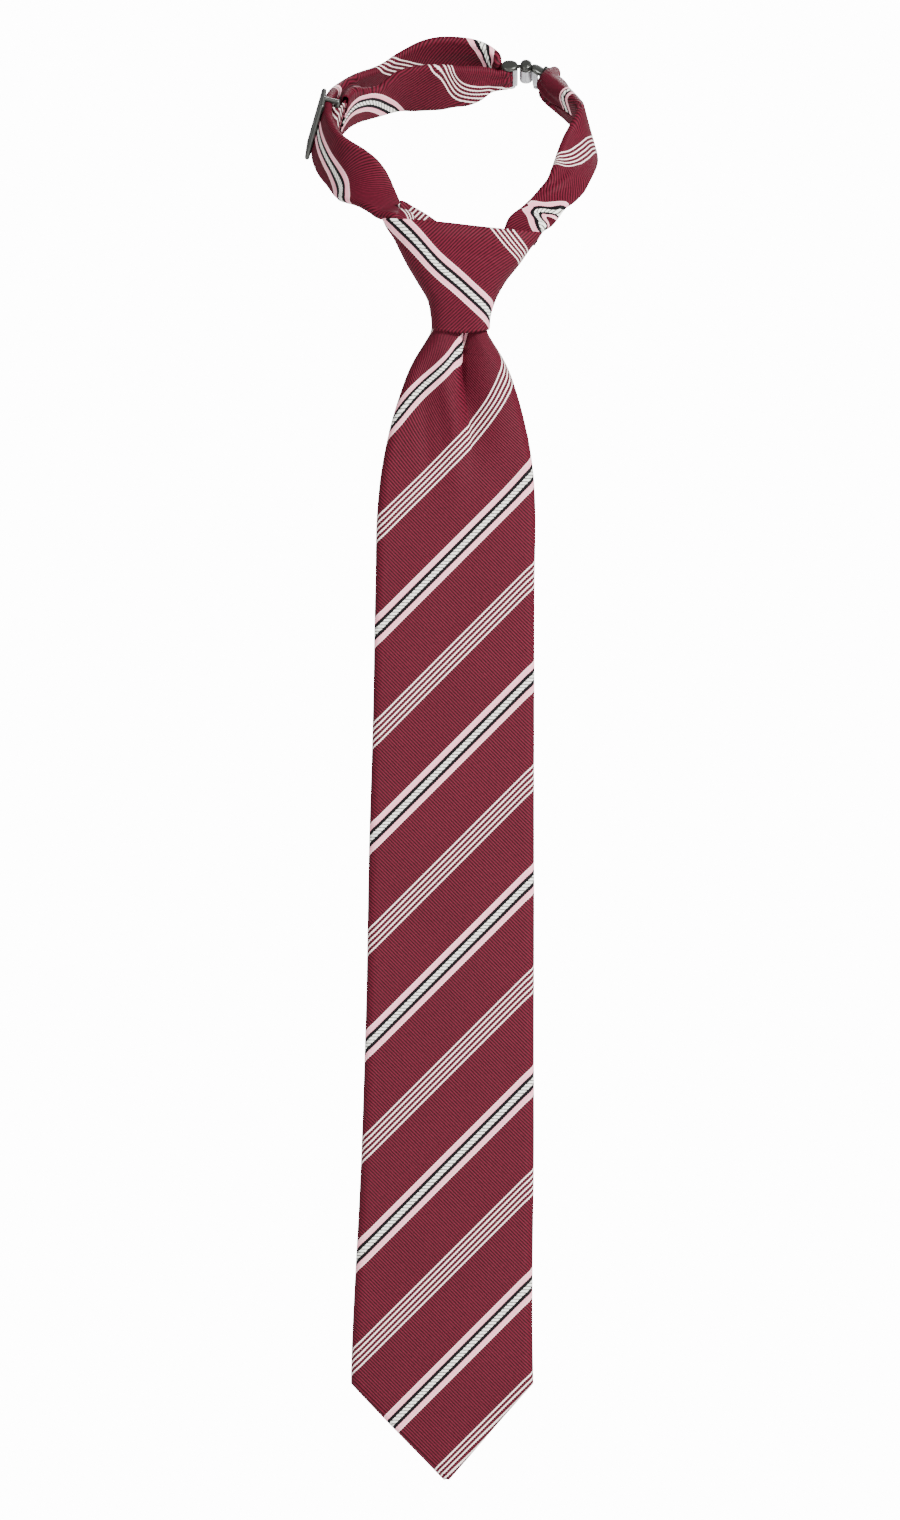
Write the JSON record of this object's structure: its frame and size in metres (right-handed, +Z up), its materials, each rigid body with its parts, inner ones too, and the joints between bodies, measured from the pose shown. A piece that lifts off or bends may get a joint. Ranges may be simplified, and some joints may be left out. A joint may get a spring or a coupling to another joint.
{
  "type": "ready-tied necktie",
  "caption": "Ready-tied striped necktie with a made-up knot, a hanging pointed blade and an adjustable neck strap with a wire slider and a hook-and-eye clasp.",
  "frame": {"origin": "on the flat back of the knot, in the middle of its top edge", "axes": "+Z up the hanging tie, +Y from the knot's back towards the wearer's neck, +X to the right as seen from the front"},
  "size_m": [0.0965, 0.0976, 0.4814],
  "materials": {
    "striped_silk": "ribbed twill with a soft sheen, woven stripes",
    "canvas": "coarse woven interlining, matte",
    "lining": "smooth satin lining",
    "thread": "twisted sewing thread, matte",
    "label_tape": "woven tape, blank",
    "former_plastic": "moulded, matte",
    "gunmetal": "dark gunmetal plating, worn bright on the edges",
    "clasp_metal": "polished sides with dark end faces"
  },
  "bodies": {
    "knot": {"knot_shell": "striped_silk", "knot_former": "former_plastic", "band_tacks": "thread", "left_strap_shell": "striped_silk", "left_strap_interlining": "canvas"},
    "blade": {"blade_shell": "striped_silk", "blade_interlining": "canvas", "tip_lining": "lining", "blade_slip_stitch": "thread", "blade_bar_tacks": "thread", "care_label": "label_tape"},
    "slider": {"slider_frame": "gunmetal", "strap_end_loop": "striped_silk", "strap_end_stitch": "thread", "strap_inner_run": "striped_silk"},
    "eye": {"clasp_eye": "clasp_metal"},
    "right_band": {"right_strap_shell": "striped_silk", "right_strap_interlining": "canvas", "right_strap_turn": "striped_silk", "right_strap_stitch": "thread"},
    "hook": {"clasp_hook": "clasp_metal"}
  },
  "joints": [
    {"name": "blade_swing", "type": "hinge", "parent": "knot", "child": "blade", "pos_m": [-0.001, -0.006, -0.0405], "axis": [1, 0, 0], "range_deg": [-75, 20]},
    {"name": "slider_travel", "type": "hinge", "parent": "knot", "child": "slider", "pos_m": [-0.001, 0.04114, 0.02472], "axis": [0, -0.515, 0.8572], "range_deg": [-20, 20], "deforming": ["strap_inner_run"]},
    {"name": "eye_swivel", "type": "hinge", "parent": "knot", "child": "eye", "pos_m": [0.0142, 0.06793, 0.0498], "axis": [0, -0.6161, 0.7877], "range_deg": [-2.5, 2.5]},
    {"name": "band_swing", "type": "hinge", "parent": "knot", "child": "right_band", "pos_m": [0.0255, 0.0006, -0.00286], "axis": [1, 0, 0], "range_deg": [-75, 0]},
    {"name": "hook_swivel", "type": "hinge", "parent": "right_band", "child": "hook", "pos_m": [0.0282, 0.06818, 0.04949], "axis": [0, -0.6161, 0.7877], "range_deg": [-2.5, 2.5]}
  ]
}
